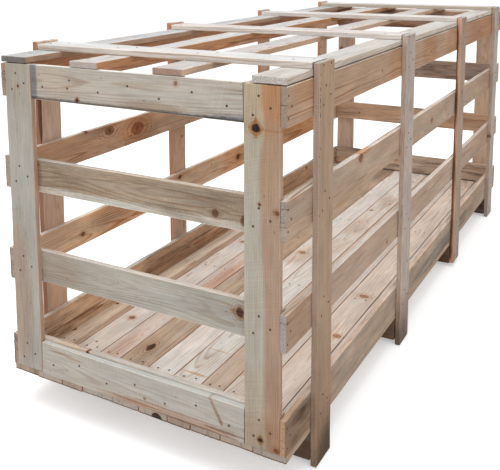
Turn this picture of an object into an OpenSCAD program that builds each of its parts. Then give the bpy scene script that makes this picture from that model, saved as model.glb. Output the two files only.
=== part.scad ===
// Open slatted shipping crate, nailed up from rough-sawn boards.
// Four hoops, each two uprights, a bearer and a lid batten, go round a floor, two railed
// sides and two end panels. The lid is one frame that lifts off between the uprights.
// Frame: millimetres, +Z up, length along Y, origin on the ground under the crate's middle.
// The front end faces -Y, the left side faces -X.

/* [Crate] */
// Overall length of the floor, the rails and the slats
crate_l = 2740; // [2400:10:3600]
// Width between the inner faces of the side rails
inner_w = 906; // [700:2:1200]
// Height of the end posts above the floor
post_h = 960; // [760:5:1200]

/* [Boards] */
// Width of a board
board_w = 100; // [80:1:110]
// Thickness of a board
board_t = 18; // [15:0.5:24]
// Thickness of a floor board
floor_t = 20; // [15:0.5:28]
// Relative widths of the floor boards, from the left side to the right
floor_shares = [100, 96, 78, 110, 95, 99, 75, 94, 99, 96];
// Gap between two floor boards
floor_gap = 1.5; // [0.5:0.5:5]

/* [Side rails] */
// How far the top rail sits below the top of the posts
rail_drop = 3; // [0:1:12]
// Height of the opening between the two middle rails
middle_gap = 193; // [120:1:240]

/* [End panels] */
// Height of the lowest inner board above the floor, and of the highest below the post tops
end_board_inset = 6; // [2:1:20]

/* [Hoops] */
// Distance from the end of the crate to the middle of the first hoop
hoop_end = 208; // [140:2:400]
// Distance from the end of the crate to the middle of the second hoop
hoop_inner = 970; // [600:5:1100]
// Height of a bearer
bearer_h = 86; // [60:1:120]
// Width of a bearer
bearer_w = 96; // [70:1:100]
// How far the uprights run below the bearers, down to the ground
foot_drop = 14; // [4:1:30]
// How far the third hoop's uprights stop short of the ground
short_foot = 18; // [0:1:30]
// How far the left uprights stand above the lid
left_rise = 8; // [0:1:20]

/* [Lid] */
// Widths of the slats, from the left side to the right
slat_widths = [98, 98, 94, 94];
// How far the two middle slats stand left of an even spacing
slat_shift = 14; // [0:1:40]
// Gap under the lid, as rough boards never seat flush
lid_seat_gap = 1; // [0.5:0.5:4]
// Gap between the lid and the uprights, on each side
lid_side_gap = 2; // [1:0.5:6]

/* [Nails] */
// Diameter of a nail's shank
nail_d = 3; // [2.5:0.1:4]
// Diameter of a nail's head
nail_head_d = 6.5; // [5:0.1:8]
// How far a driven head stands proud of the wood
nail_proud = 0.4; // [0.2:0.1:1]
// Length of a nail through two boards
nail_short = 34; // [28:1:35]
// Length of a nail into a bearer or into the edge of a post
nail_long = 42; // [36:1:45]

/* [Hidden] */
$fn = 24;

left = -1;
right = 1;
front = -1;
rear = 1;

end_y = crate_l / 2;
rail_in_x = inner_w / 2;
rail_out_x = rail_in_x + board_t;
upright_out_x = rail_out_x + board_t;

floor_z = foot_drop + bearer_h;
deck_z = floor_z + floor_t;
post_top_z = deck_z + post_h;
slat_z = post_top_z + lid_seat_gap;
lid_batten_z = slat_z + board_t;
lid_top_z = lid_batten_z + board_t;

hoop_count = 4;
short_hoop = 3;
hoop_y = [hoop_end - end_y, hoop_inner - end_y, end_y - hoop_inner, end_y - hoop_end];

// Undersides of the side rails, from the top rail down
top_rail_z = post_top_z - rail_drop - board_w;
outer_gap = (post_h - rail_drop - 4 * board_w - middle_gap) / 2;
rail_z = [
    top_rail_z,
    top_rail_z - outer_gap - board_w,
    deck_z + board_w + outer_gap,
    deck_z
];

// Undersides of the four inner end boards, evenly spaced, from the top board down
end_board_top_z = post_top_z - end_board_inset - board_w;
end_board_pitch = (end_board_top_z - deck_z - end_board_inset) / 3;
end_board_z = [for (i = [0:3]) end_board_top_z - i * end_board_pitch];
fill_top_z = post_top_z - board_w;

// Left edges of the floor boards, each a running sum of the shares
floor_w = 2 * rail_out_x;
function sum_to(list, n) = n == 0 ? 0 : list[n - 1] + sum_to(list, n - 1);
floor_unit = floor_w / sum_to(floor_shares, len(floor_shares));
function floor_left(i) = -rail_out_x + floor_unit * sum_to(floor_shares, i - 1);
function floor_width(i) = floor_unit * floor_shares[i - 1] - floor_gap;
function floor_mid(i) = floor_left(i) + floor_gap / 2 + floor_width(i) / 2;

// Middles of the lid slats: the outer two sit flush with the rails
lid_half_w = rail_out_x - lid_side_gap;
function slat_even(i) = -lid_half_w + slat_widths[0] / 2
    + (i - 1) / 3 * (2 * lid_half_w - slat_widths[0] / 2 - slat_widths[3] / 2);
function slat_mid(i) = slat_even(i) - (i == 2 || i == 3 ? slat_shift : 0);

// Colours of the wood and the nails
sapwood = "#cdc5b6";
pinewood = "#c2a684";
heartwood = "#b08a68";
weathered = "#a39a8e";
iron = "#4d4844";

// Nail layout: places on a crossing of two boards, from its middle
crossing_nails = [[-8, 26], [24, -2], [-24, -23]];
nail_head_t = 1.2;
nail_tip = 4;
fill_nail_pitch = 102;
fill_nail_zigzag = 13;
fill_nail_steps = 3;
corner_nail_spread = 28;
bearer_nail_spread = 20;
closing_nail = 15;

// A board with its lowest corner at "at"
module board(at, size, tone) {
    color(tone)
        translate(at)
            cube(size);
}

// A round wire nail: its head is on the plane z = 0 and its shank runs down
module nail(length) {
    shank_r = nail_d / 2;
    head_r = nail_head_d / 2;
    color(iron)
        rotate_extrude()
            polygon([
                [0, -length],
                [shank_r, nail_tip - length],
                [shank_r, nail_proud - nail_head_t],
                [head_r, nail_proud - nail_head_t],
                [head_r, nail_proud],
                [0, nail_proud]
            ]);
}

// A nail driven level into a side face, with x as the face
module side_nail(side, y, z, length, face_x) {
    translate([side * face_x, y, z])
        rotate([0, side * 90, 0])
            nail(length);
}

// A nail driven level into an end face
module end_nail(end, x, z, length) {
    translate([x, end * end_y, z])
        rotate([-end * 90, 0, 0])
            nail(length);
}

module floor_board(i) {
    tone = i % 3 == 1 ? heartwood : pinewood;
    at = [floor_left(i) + floor_gap / 2, -end_y, floor_z];
    board(at, [floor_width(i), crate_l, floor_t], tone);
}

// Square beam across and under the floor
module bearer(i) {
    at = [-rail_out_x, hoop_y[i - 1] - bearer_w / 2, foot_drop];
    board(at, [2 * rail_out_x, bearer_w, bearer_h], weathered);
}

// Full-length board along one side, the first at the top
module side_rail(side, i) {
    x = side == right ? rail_in_x : -rail_out_x;
    board([x, -end_y, rail_z[i - 1]], [board_t, crate_l, board_w], heartwood);
}

// Upright on the outside of the rails, which carries the hoop's load to the ground
module side_batten(side, i) {
    x = side == right ? rail_out_x : -upright_out_x;
    foot_z = i == short_hoop ? short_foot : 0;
    top_z = lid_top_z + (side == left ? left_rise : 0);
    at = [x, hoop_y[i - 1] - board_w / 2, foot_z];
    board(at, [board_t, board_w, top_z - foot_z], weathered);
}

// Upright at a corner of an end panel, in the panel's outer layer
module end_post(end, side) {
    x = side == right ? rail_in_x - board_w : -rail_in_x;
    y = end == front ? -end_y : end_y - board_t;
    board([x, y, deck_z], [board_w, board_t, post_h], sapwood);
}

// Board between the two posts, at the top or the bottom of an end panel
module end_fill(end, z) {
    y = end == front ? -end_y : end_y - board_t;
    at = [board_w - rail_in_x, y, z];
    board(at, [inner_w - 2 * board_w, board_t, board_w], sapwood);
}

// Board across the inside of an end panel, the first at the top
module end_board(end, i) {
    y = end == front ? -end_y + board_t : end_y - 2 * board_t;
    board([-rail_in_x, y, end_board_z[i - 1]], [inner_w, board_t, board_w], pinewood);
}

// Full-length board of the lid
module lid_slat(i) {
    width = slat_widths[i - 1];
    board([slat_mid(i) - width / 2, -end_y, slat_z], [width, crate_l, board_t], sapwood);
}

// Board across the lid, between the tops of two uprights
module lid_batten(i) {
    at = [-lid_half_w, hoop_y[i - 1] - board_w / 2, lid_batten_z];
    board(at, [2 * lid_half_w, board_w, board_t], sapwood);
}

// Two nails through each floor board into each bearer
module floor_nails() {
    for (y = hoop_y, i = [1:len(floor_shares)], step = [-1, 1])
        translate([floor_mid(i) + step * floor_width(i) / 5, y - 6 + 3 * step, deck_z])
            nail(nail_long);
}

// All the nails that are driven from one side
module side_nails(side) {
    for (y = hoop_y, z = rail_z, spot = crossing_nails)
        side_nail(side, y + spot[0], z + board_w / 2 + spot[1], nail_short, upright_out_x);
    for (y = hoop_y, step = [-1, 1])
        side_nail(side, y + step * bearer_nail_spread, foot_drop + bearer_h / 2 + 9 * step,
            nail_long, upright_out_x);
    // Closing nails, drawn back out of the lid so that it can lift
    for (y = hoop_y, step = [-1, 1])
        side_nail(side, y + step * 26, lid_batten_z + board_t / 2, closing_nail, upright_out_x);
    for (end = [front, rear], z = rail_z, step = [-1, 0, 1])
        side_nail(side, end * (end_y - board_t * (step == 0 ? 1.5 : 0.5)),
            z + board_w / 2 + step * corner_nail_spread, nail_long - 2, rail_out_x);
}

// All the nails that are driven from one end
module end_nails(end) {
    for (side = [left, right], z = end_board_z, spot = crossing_nails)
        end_nail(end, side * (rail_in_x - board_w / 2) + spot[0], z + board_w / 2 + spot[1],
            nail_short);
    for (z = [fill_top_z, deck_z], step = [-fill_nail_steps:fill_nail_steps])
        end_nail(end, step * fill_nail_pitch,
            z + board_w / 2 + (step % 2 == 0 ? fill_nail_zigzag : -fill_nail_zigzag), nail_short);
}

// Two nails through each lid batten into each slat
module lid_nails() {
    for (y = hoop_y, i = [1:hoop_count], step = [-1, 1])
        translate([slat_mid(i) + step * 22, y + step * 18, lid_top_z])
            nail(nail_short);
}

floor_board(1);  // floor_board_1
floor_board(2);  // floor_board_2
floor_board(3);  // floor_board_3
floor_board(4);  // floor_board_4
floor_board(5);  // floor_board_5
floor_board(6);  // floor_board_6
floor_board(7);  // floor_board_7
floor_board(8);  // floor_board_8
floor_board(9);  // floor_board_9
floor_board(10);  // floor_board_10
bearer(1);  // bearer_1
bearer(2);  // bearer_2
bearer(3);  // bearer_3
bearer(4);  // bearer_4
side_rail(left, 1);  // left_rail_1
side_rail(left, 2);  // left_rail_2
side_rail(left, 3);  // left_rail_3
side_rail(left, 4);  // left_rail_4
side_rail(right, 1);  // right_rail_1
side_rail(right, 2);  // right_rail_2
side_rail(right, 3);  // right_rail_3
side_rail(right, 4);  // right_rail_4
side_batten(left, 1);  // left_batten_1
side_batten(left, 2);  // left_batten_2
side_batten(left, 3);  // left_batten_3
side_batten(left, 4);  // left_batten_4
side_batten(right, 1);  // right_batten_1
side_batten(right, 2);  // right_batten_2
side_batten(right, 3);  // right_batten_3
side_batten(right, 4);  // right_batten_4
end_post(front, left);  // front_post_left
end_post(front, right);  // front_post_right
end_fill(front, fill_top_z);  // front_fill_top
end_fill(front, deck_z);  // front_fill_bottom
end_post(rear, left);  // rear_post_left
end_post(rear, right);  // rear_post_right
end_fill(rear, fill_top_z);  // rear_fill_top
end_fill(rear, deck_z);  // rear_fill_bottom
end_board(front, 1);  // front_board_1
end_board(front, 2);  // front_board_2
end_board(front, 3);  // front_board_3
end_board(front, 4);  // front_board_4
end_board(rear, 1);  // rear_board_1
end_board(rear, 2);  // rear_board_2
end_board(rear, 3);  // rear_board_3
end_board(rear, 4);  // rear_board_4
lid_slat(1);  // lid_slat_1
lid_slat(2);  // lid_slat_2
lid_slat(3);  // lid_slat_3
lid_slat(4);  // lid_slat_4
lid_batten(1);  // lid_batten_1
lid_batten(2);  // lid_batten_2
lid_batten(3);  // lid_batten_3
lid_batten(4);  // lid_batten_4
floor_nails();
side_nails(left);  // left_side_nails
side_nails(right);  // right_side_nails
end_nails(front);  // front_end_nails
end_nails(rear);  // rear_end_nails
lid_nails();
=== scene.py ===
"""Looks of the open slatted shipping crate: every board is rebuilt as worn, rough-sawn softwood
in the place its CAD node gives, and the nails get an oxidised finish."""
import math
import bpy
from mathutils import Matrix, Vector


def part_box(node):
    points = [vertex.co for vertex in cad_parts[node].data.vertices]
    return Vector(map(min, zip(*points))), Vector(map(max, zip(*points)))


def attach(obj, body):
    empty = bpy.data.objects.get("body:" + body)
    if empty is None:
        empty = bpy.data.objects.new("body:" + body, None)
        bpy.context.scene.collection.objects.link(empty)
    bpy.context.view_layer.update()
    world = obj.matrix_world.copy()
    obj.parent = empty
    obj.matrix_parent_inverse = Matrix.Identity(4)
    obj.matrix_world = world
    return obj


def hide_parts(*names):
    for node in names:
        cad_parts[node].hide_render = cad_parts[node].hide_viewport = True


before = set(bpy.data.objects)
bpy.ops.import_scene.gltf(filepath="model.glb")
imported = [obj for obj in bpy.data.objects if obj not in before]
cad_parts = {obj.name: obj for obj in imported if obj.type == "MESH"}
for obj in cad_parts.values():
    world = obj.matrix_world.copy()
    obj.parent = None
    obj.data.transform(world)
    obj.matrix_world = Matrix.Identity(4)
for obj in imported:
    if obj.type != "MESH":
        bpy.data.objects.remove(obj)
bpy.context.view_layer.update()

import zlib
from types import SimpleNamespace

import bpy
import numpy as np
from mathutils import Matrix, Vector

MM = 0.001


def srgb(red, green, blue):
    """A colour as it is seen on a screen, 0 to 255, as the linear colour that Blender takes."""
    def linear(part):
        part /= 255
        return part / 12.92 if part <= 0.04045 else ((part + 0.055) / 1.055) ** 2.4
    return (linear(red), linear(green), linear(blue), 1.0)


def add_object(name, data=None):
    """A new object in the scene, or an empty if it has no data."""
    added = bpy.data.objects.new(name, data)
    bpy.context.scene.collection.objects.link(added)
    return added


# ---------------------------------------------------------------- seeded chance and noise

def rng_for(*names):
    """A random generator that depends only on the names."""
    return np.random.default_rng(zlib.crc32("/".join(names).encode()))


def wobble(points, rng, swell, waves=5):
    """Smooth noise, mostly within -1 to 1, at each point. swell is its length along each axis."""
    total = np.zeros(len(points))
    for _ in range(waves):
        direction = rng.normal(size=3) / np.asarray(swell)
        total += np.sin(points @ direction * 2.5 + rng.uniform(0, math.tau))
    return total / math.sqrt(waves)


def smooth(values, low, high):
    """0 below low, 1 above high, with a soft step between."""
    share = np.clip((values - low) / (high - low), 0, 1)
    return share * share * (3 - 2 * share)


# ---------------------------------------------------------------- boards as meshes

# The lattice: how far in from an arris its lines lie, and their spacing along, across and through
ARRIS_LINES = (0.0, 0.7 * MM, 1.8 * MM, 4 * MM)
STATION_STEP = 26 * MM
STRIP_STEP = 13 * MM
LAYER_STEP = 6 * MM

SAWN_RELIEF = 0.22 * MM
SPLIT_WIDTH = 0.9 * MM
SPLIT_DEPTH = 3.2 * MM
END_SLOPES = (0.012, 0.03)
END_TEAR = 0.5 * MM
WANE_REACH = 34 * MM
WANE_FADE = 50 * MM
BARK_WIDTH = 9 * MM


class Board:
    """Where a board lies: its middle, its half sizes and its axes, x along the grain, y across
    its face and z through its thickness."""

    def __init__(self, node):
        low, high = (np.array(corner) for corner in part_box(node))
        self.node = node
        self.middle = (low + high) / 2
        size = high - low
        thin, wide, long = np.argsort(size)
        along, across = np.eye(3)[long], np.eye(3)[wide]
        self.axes = np.array([along, across, np.cross(along, across)])
        self.half = size[[long, wide, thin]] / 2
        self.outward = float(np.sign(self.axes[2] @ self.middle))

    def local(self, point):
        """A point of the crate's frame, in the board's own axes from its middle."""
        return self.axes @ (np.array(point) - self.middle)

    def world(self, points):
        return points @ self.axes + self.middle


def lattice_lines(half, step, extra=()):
    """Places of the lattice lines from -half to half, crowded towards the arrises."""
    flat = half - ARRIS_LINES[-1]
    lines = list(np.linspace(-flat, flat, max(2, round(2 * flat / step)) + 1))
    for inset in ARRIS_LINES[:-1]:
        lines += [half - inset, inset - half]
    return np.unique(np.round(lines + list(extra), 6))


def lattice_shell(lines):
    """Points and outward faces of the skin of a lattice with these lines along x, y and z."""
    counts = [len(line) for line in lines]
    index = np.meshgrid(*(np.arange(count) for count in counts), indexing="ij")
    skin = np.zeros(counts, bool)
    for places, count in zip(index, counts):
        skin |= (places == 0) | (places == count - 1)
    number = np.full(counts, -1)
    number[skin] = np.arange(skin.sum())
    points = np.stack([line[places[skin]] for line, places in zip(lines, index)], axis=-1)
    sheets = (
        (number[-1], False), (number[0], True),
        (number[:, 0], False), (number[:, -1], True),
        (number[:, :, -1], False), (number[:, :, 0], True),
    )
    faces = []
    for sheet, flip in sheets:
        corners = (sheet[:-1, :-1], sheet[1:, :-1], sheet[1:, 1:], sheet[:-1, 1:])
        quads = np.stack(corners, axis=-1).reshape(-1, 4)
        faces.append(quads[:, ::-1] if flip else quads)
    return points, np.concatenate(faces)


def arris_radius(points, half, rng, wear):
    """How far each point's arris is worn round: uneven all along, with a few deeper nicks."""
    radius = wear * (1.1 + 0.45 * wobble(points, rng, (0.09, 0.02, 0.02)))
    nicks = int(rng.integers(1, 3) + half[0] * 3)
    for _ in range(nicks):
        place = rng.uniform(-half[0], half[0])
        reach = rng.uniform(4, 16) * MM
        edge = rng.choice([-1, 1], size=2)
        near = (points[:, 1] * edge[0] > 0) & (points[:, 2] * edge[1] > 0)
        radius += near * rng.uniform(0.8, 2.6) * MM * np.exp(-((points[:, 0] - place) / reach) ** 2)
    return np.clip(radius, 0.4 * MM, min(half[1], half[2]) * 0.8)[:, None]


def round_arrises(points, half, radius):
    """Wears a box's arrises round, each point by its own radius."""
    inner = np.clip(points, radius - half, half - radius)
    away = points - inner
    length = np.linalg.norm(away, axis=1, keepdims=True)
    return inner + np.where(length > 0, away * radius / np.maximum(length, 1e-9), 0)


def cut_ends(points, half, rng, ragged):
    """Moves the two ends in a little: each is sawn slightly out of square and has torn fibres."""
    for end in (-1, 1):
        slope = rng.uniform(-1, 1, 2) * END_SLOPES
        inset = rng.uniform(0.1, 1.0) * ragged
        tear = END_TEAR * (1 + wobble(points * (0, 1, 1), rng, (1, 0.006, 0.004)))
        skew = points[:, 1] * slope[0] + points[:, 2] * slope[1]
        skew += half[1] * abs(slope[0]) + half[2] * abs(slope[1])
        close = smooth(points[:, 0] * end, half[0] - 60 * MM, half[0])
        very_close = smooth(points[:, 0] * end, half[0] - 5 * MM, half[0])
        points[:, 0] -= end * (close * (inset + skew) + very_close * tear)


def open_splits(points, lines, half, splits):
    """Opens drying splits at the ends: narrow grooves along the grain that run out."""
    for place, end, reach in splits:
        on_line = np.abs(lines[:, 1] - place) < 0.01 * MM
        gape = smooth(lines[:, 0] * end, half[0] - reach, half[0]) * on_line
        on_face = np.abs(lines[:, 2]) > half[2] - 0.1 * MM
        on_end = lines[:, 0] * end > half[0] - 0.1 * MM
        points[:, 2] -= np.sign(lines[:, 2]) * SPLIT_DEPTH * gape * on_face
        points[:, 0] -= end * 5 * MM * gape * on_end


def wane_inset(lines, half, rng, wane):
    """How far a waney arris, where the board ran out of log, falls back at each point. A wane is
    the edge and face that it is on, its depth, and where along the board it starts and stops."""
    side, face, depth, start, stop = wane
    reach = smooth(lines[:, 1] * side, half[1] - WANE_REACH, half[1])
    slant = np.clip((lines[:, 2] * face + half[2]) / (2 * half[2]), 0, 1) ** 1.4
    swell = 0.62 + 0.42 * wobble(lines * (1, 0, 0), rng, (0.16, 1, 1))
    begun = smooth(lines[:, 0], start, start + WANE_FADE)
    ended = smooth(lines[:, 0], stop - WANE_FADE, stop)
    return depth * reach * slant * np.clip(swell, 0, 1.2) * begun * (1 - ended)


def board_mesh(board, wear, ragged, wane):
    """The board as a mesh with its grain axes kept as an attribute for the material."""
    rng = rng_for("shape", board.node)
    half = board.half
    splits = []
    for _ in range(int(rng.integers(1, 4))):
        place = round(rng.uniform(-0.7, 0.7) * half[1], 6)
        splits.append((place, rng.choice([-1, 1]), rng.uniform(30, 120) * MM))
    split_lines = [place + step * SPLIT_WIDTH for place, _, _ in splits for step in (-1, 0, 1)]
    strip = STRIP_STEP if wane is None else STRIP_STEP / 2
    lines, faces = lattice_shell((
        lattice_lines(half[0], STATION_STEP),
        lattice_lines(half[1], strip, split_lines),
        lattice_lines(half[2], LAYER_STEP),
    ))
    points = round_arrises(lines, half, arris_radius(lines, half, rng, wear))
    open_splits(points, lines, half, splits)
    sunk = SAWN_RELIEF * (1 + wobble(lines, rng, (0.12, 0.035, 0.05)))
    for axis in (2, 1):
        on_skin = np.abs(lines[:, axis]) > half[axis] - 2 * MM
        points[:, axis] -= np.sign(lines[:, axis]) * sunk * on_skin
    bark = np.zeros(len(lines))
    if wane:
        inset = wane_inset(lines, half, rng, wane)
        points[:, 1] -= wane[0] * inset
        bark = smooth(inset, 0.5 * MM, 3 * MM) * (lines[:, 1] * wane[0] > half[1] - BARK_WIDTH)
    cut_ends(points, half, rng, ragged)

    mesh = bpy.data.meshes.new(board.node + "_wood")
    mesh.from_pydata(board.world(points), [], faces.tolist())
    mesh.attributes.new("grain", "FLOAT_VECTOR", "POINT").data.foreach_set("vector", lines.ravel())
    mesh.attributes.new("bark", "FLOAT", "POINT").data.foreach_set("value", bark)
    mesh.shade_smooth()
    return mesh


# ---------------------------------------------------------------- node trees

def feed(tree, node, inputs):
    """Sets or links a node's inputs."""
    for key, value in inputs.items():
        if isinstance(value, bpy.types.NodeSocket):
            tree.links.new(value, node.inputs[key])
        else:
            node.inputs[key].default_value = value


def put(tree, kind, inputs=None, output=0, **settings):
    """Adds a node and gives back one of its outputs, if it has any."""
    node = tree.nodes.new(kind)
    for name, value in settings.items():
        setattr(node, name, value)
    feed(tree, node, inputs or {})
    return node.outputs[output] if node.outputs else None


def calc(tree, operation, a, b=0.0):
    return put(tree, "ShaderNodeMath", {0: a, 1: b}, operation=operation)


def plus(tree, a, b):
    return calc(tree, "ADD", a, b)


def minus(tree, a, b):
    return calc(tree, "SUBTRACT", a, b)


def times(tree, a, b):
    return calc(tree, "MULTIPLY", a, b)


def vector(tree, operation, a, b=(0, 0, 0)):
    output = 1 if operation in ("LENGTH", "DISTANCE", "DOT_PRODUCT") else 0
    return put(tree, "ShaderNodeVectorMath", {0: a, 1: b}, output, operation=operation)


def scaled(tree, source, factor):
    return put(tree, "ShaderNodeVectorMath", {0: source, "Scale": factor}, operation="SCALE")


def step_up(tree, value, low, high, to_low=0.0, to_high=1.0):
    """A soft step from to_low to to_high as value goes from low to high."""
    inputs = {0: value, 1: low, 2: high, 3: to_low, 4: to_high}
    return put(tree, "ShaderNodeMapRange", inputs, interpolation_type="SMOOTHSTEP")


def step_down(tree, value, low, high, from_low=1.0):
    return step_up(tree, value, low, high, from_low, 0.0)


def tint(tree, factor, a, b, blend="MIX"):
    """Colour a turned towards colour b by factor."""
    inputs = {0: factor, 6: a, 7: b}
    return put(tree, "ShaderNodeMix", inputs, 2, data_type="RGBA", blend_type=blend)


def dye(tree, factor, color, by):
    """A colour multiplied by another, by factor."""
    return tint(tree, factor, color, by, "MULTIPLY")


def noise(tree, place, scale, detail=2.0, roughness=0.5, output=0):
    """Noise about 0.5. scale is in cycles per metre along x, y and z of place."""
    inputs = {"Vector": vector(tree, "MULTIPLY", place, scale), "Scale": 1.0,
              "Detail": detail, "Roughness": roughness}
    return put(tree, "ShaderNodeTexNoise", inputs, output)


def shaded(tree, color, factor):
    """A colour made darker or lighter by a factor."""
    grey = put(tree, "ShaderNodeCombineXYZ", {0: factor, 1: factor, 2: factor})
    return vector(tree, "MULTIPLY", color, grey)


def split(tree, source):
    node = put(tree, "ShaderNodeSeparateXYZ", {0: source}).node
    return node.outputs[0], node.outputs[1], node.outputs[2]


def blank_material(name):
    """A new material and its empty node tree."""
    material = bpy.data.materials.new(name)
    material.use_nodes = True
    material.node_tree.nodes.clear()
    return material, material.node_tree


def group(name, inputs, outputs):
    """A new node group, what it is given and what it gives out, both as sockets by name. Inputs
    and outputs hold the names of the sockets of each kind."""
    tree = bpy.data.node_groups.new(name, "ShaderNodeTree")
    for direction, sockets in (("INPUT", inputs), ("OUTPUT", outputs)):
        for kind, names in sockets.items():
            for socket in names.split():
                tree.interface.new_socket(socket, in_out=direction, socket_type="NodeSocket" + kind)
    return tree, tree.nodes.new("NodeGroupInput").outputs, tree.nodes.new("NodeGroupOutput").inputs


def use(tree, shared, inputs):
    """Puts a node group into a tree and gives back its outputs."""
    node = tree.nodes.new("ShaderNodeGroup")
    node.node_tree = shared
    feed(tree, node, inputs)
    return node.outputs


# Tints that the softwood's own figure multiplies its colour by
LATEWOOD = (0.64, 0.43, 0.29, 1)
COOL_PATCH = (0.97, 1.0, 1.02, 1)
WARM_PATCH = (1.04, 0.97, 0.90, 1)
WARM_STREAK = (0.86, 0.72, 0.59, 1)
DARK_STREAK = (0.30, 0.20, 0.14, 1)
SPECK = (0.40, 0.27, 0.19, 1)
SCUFF = (1.28, 1.22, 1.12, 1)
KNOT_HALO = (0.86, 0.66, 0.46, 1)
KNOT_RINGS = (0.66, 0.46, 0.32, 1)
KNOT_WOOD = (0.74, 0.52, 0.37, 1)
RESIN = (0.80, 0.50, 0.28, 1)

# Colours that take the wood's place
WEATHERED = (0.33, 0.31, 0.29, 1)
KNOT_BLACK = (0.007, 0.005, 0.004, 1)
KNOT_BROWN = (0.060, 0.026, 0.015, 1)
KNOT_RIM = (0.085, 0.038, 0.022, 1)
BARK_DARK = (0.060, 0.024, 0.014, 1)
BARK_PALE = (0.26, 0.12, 0.070, 1)


def make_knot_group():
    """One knot: the grain parts round it, it has a distance field for its own rings, and a black
    one has a pointed patch of resin along the grain. Ragged is noise that makes it uneven."""
    inputs = {"Vector": "Grain Ragged Warped Centre",
              "Float": "Distance Dark Resin Rings Radius Darkness Stretch Swirl"}
    outputs = {"Vector": "Warped", "Float": "Distance Dark Resin Rings"}
    tree, given, out = group("Knot", inputs, outputs)
    ragged = scaled(tree, given["Ragged"], times(tree, given["Radius"], 0.6))
    offset = vector(tree, "SUBTRACT", given["Grain"], given["Centre"])
    shape = put(tree, "ShaderNodeCombineXYZ", {0: calc(tree, "DIVIDE", 1.08, given["Stretch"]), 1: 0.95})
    flat = vector(tree, "MULTIPLY", vector(tree, "ADD", offset, ragged), shape)
    distance = calc(tree, "DIVIDE", vector(tree, "LENGTH", flat), given["Radius"])

    # The grain is pulled aside round the knot, and less and less further off
    reach = vector(tree, "LENGTH", vector(tree, "MULTIPLY", offset, (0.30, 0.62, 0)))
    reach = calc(tree, "DIVIDE", reach, times(tree, given["Radius"], given["Swirl"]))
    pull = calc(tree, "EXPONENT", times(tree, times(tree, reach, reach), -1.0))
    pull = scaled(tree, vector(tree, "MULTIPLY", offset, (0.25, 0.9, 0)), pull)

    dark = times(tree, step_down(tree, distance, 0.70, 1.05), given["Darkness"])
    corners = vector(tree, "ABSOLUTE", vector(tree, "ADD", offset, ragged))
    corners = vector(tree, "DOT_PRODUCT", corners, (0.74, 1.0, 0))
    resin = step_down(tree, calc(tree, "DIVIDE", corners, given["Radius"]), 1.25, 2.05)
    resin = times(tree, resin, given["Darkness"])
    rings = step_up(tree, calc(tree, "SINE", times(tree, distance, 9.0)), 0.0, 1.0)
    last_ring = plus(tree, times(tree, given["Swirl"], 1.8), 1.0)
    rings = times(tree, rings, step_down(tree, distance, 1.0, last_ring, 0.5))
    tree.links.new(vector(tree, "SUBTRACT", given["Warped"], pull), out["Warped"])
    tree.links.new(calc(tree, "MINIMUM", given["Distance"], distance), out["Distance"])
    for mark, value in (("Rings", rings), ("Dark", dark), ("Resin", resin)):
        tree.links.new(calc(tree, "MAXIMUM", given[mark], value), out[mark])
    return tree


def make_stain_group():
    """One soft-edged patch of another colour on a board's face. Ragged is noise about 0.5 that
    makes its rim uneven."""
    inputs = {"Vector": "Grain Centre Reach", "Color": "Color Tint", "Float": "Ragged Strength Soft"}
    tree, given, out = group("Stain", inputs, {"Color": "Color"})
    offset = vector(tree, "SUBTRACT", given["Grain"], given["Centre"])
    offset = vector(tree, "DIVIDE", offset, given["Reach"])
    ragged = times(tree, times(tree, minus(tree, given["Ragged"], 0.5), given["Soft"]), 1.7)
    distance = plus(tree, vector(tree, "LENGTH", offset), ragged)
    share = step_down(tree, distance, minus(tree, 1.15, given["Soft"]), 1.15)
    share = times(tree, share, given["Strength"])
    tree.links.new(dye(tree, share, given["Color"], given["Tint"]), out["Color"])
    return tree


def make_bark_group():
    """Bark left on a waney arris."""
    outputs = {"Color": "Color", "Float": "Height"}
    inputs = {"Vector": "Grain", "Color": "Color", "Float": "Height Bark"}
    tree, given, out = group("Bark", inputs, outputs)
    ragged = noise(tree, given["Grain"], (60, 220, 220), 5.0, 0.7)
    bark = step_up(tree, plus(tree, given["Bark"], minus(tree, ragged, 0.5)), 0.35, 0.65)
    thick = times(tree, times(tree, bark, ragged), 6.0)
    bark_color = tint(tree, ragged, BARK_DARK, BARK_PALE)
    tree.links.new(tint(tree, bark, given["Color"], bark_color), out["Color"])
    tree.links.new(plus(tree, given["Height"], thick), out["Height"])
    return tree


def growth_rings(tree, given, place):
    """Rings round a leaning, wandering pith line, as the distance from it and the latewood."""
    wander = noise(tree, place, (1.7, 9, 9), 1.0, output=1)
    wander = scaled(tree, vector(tree, "SUBTRACT", wander, (0.5, 0.5, 0.5)), 0.03)
    along = split(tree, given["Warped"])[0]
    radial = vector(tree, "SUBTRACT", given["Warped"], given["Pith"])
    radial = vector(tree, "SUBTRACT", radial, scaled(tree, given["Lean"], along))
    radial = vector(tree, "MULTIPLY", vector(tree, "ADD", radial, wander), (0, 1, 1))
    radius = vector(tree, "LENGTH", radial)
    uneven = put(tree, "ShaderNodeCombineXYZ", {0: times(tree, radius, 70.0)})
    uneven = noise(tree, uneven, (1, 1, 1), 2.0)
    rings = plus(tree, calc(tree, "DIVIDE", radius, given["Ring"]), times(tree, uneven, 2.6))
    share = calc(tree, "FRACT", rings)
    late = times(tree, step_up(tree, share, 0.52, 0.90), step_down(tree, share, 0.93, 1.0))
    patchy = step_up(tree, noise(tree, place, (2.2, 26, 26), 2.0), 0.30, 0.70, 0.25, 1.0)
    return radius, times(tree, times(tree, late, patchy), given["Figure"])


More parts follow.
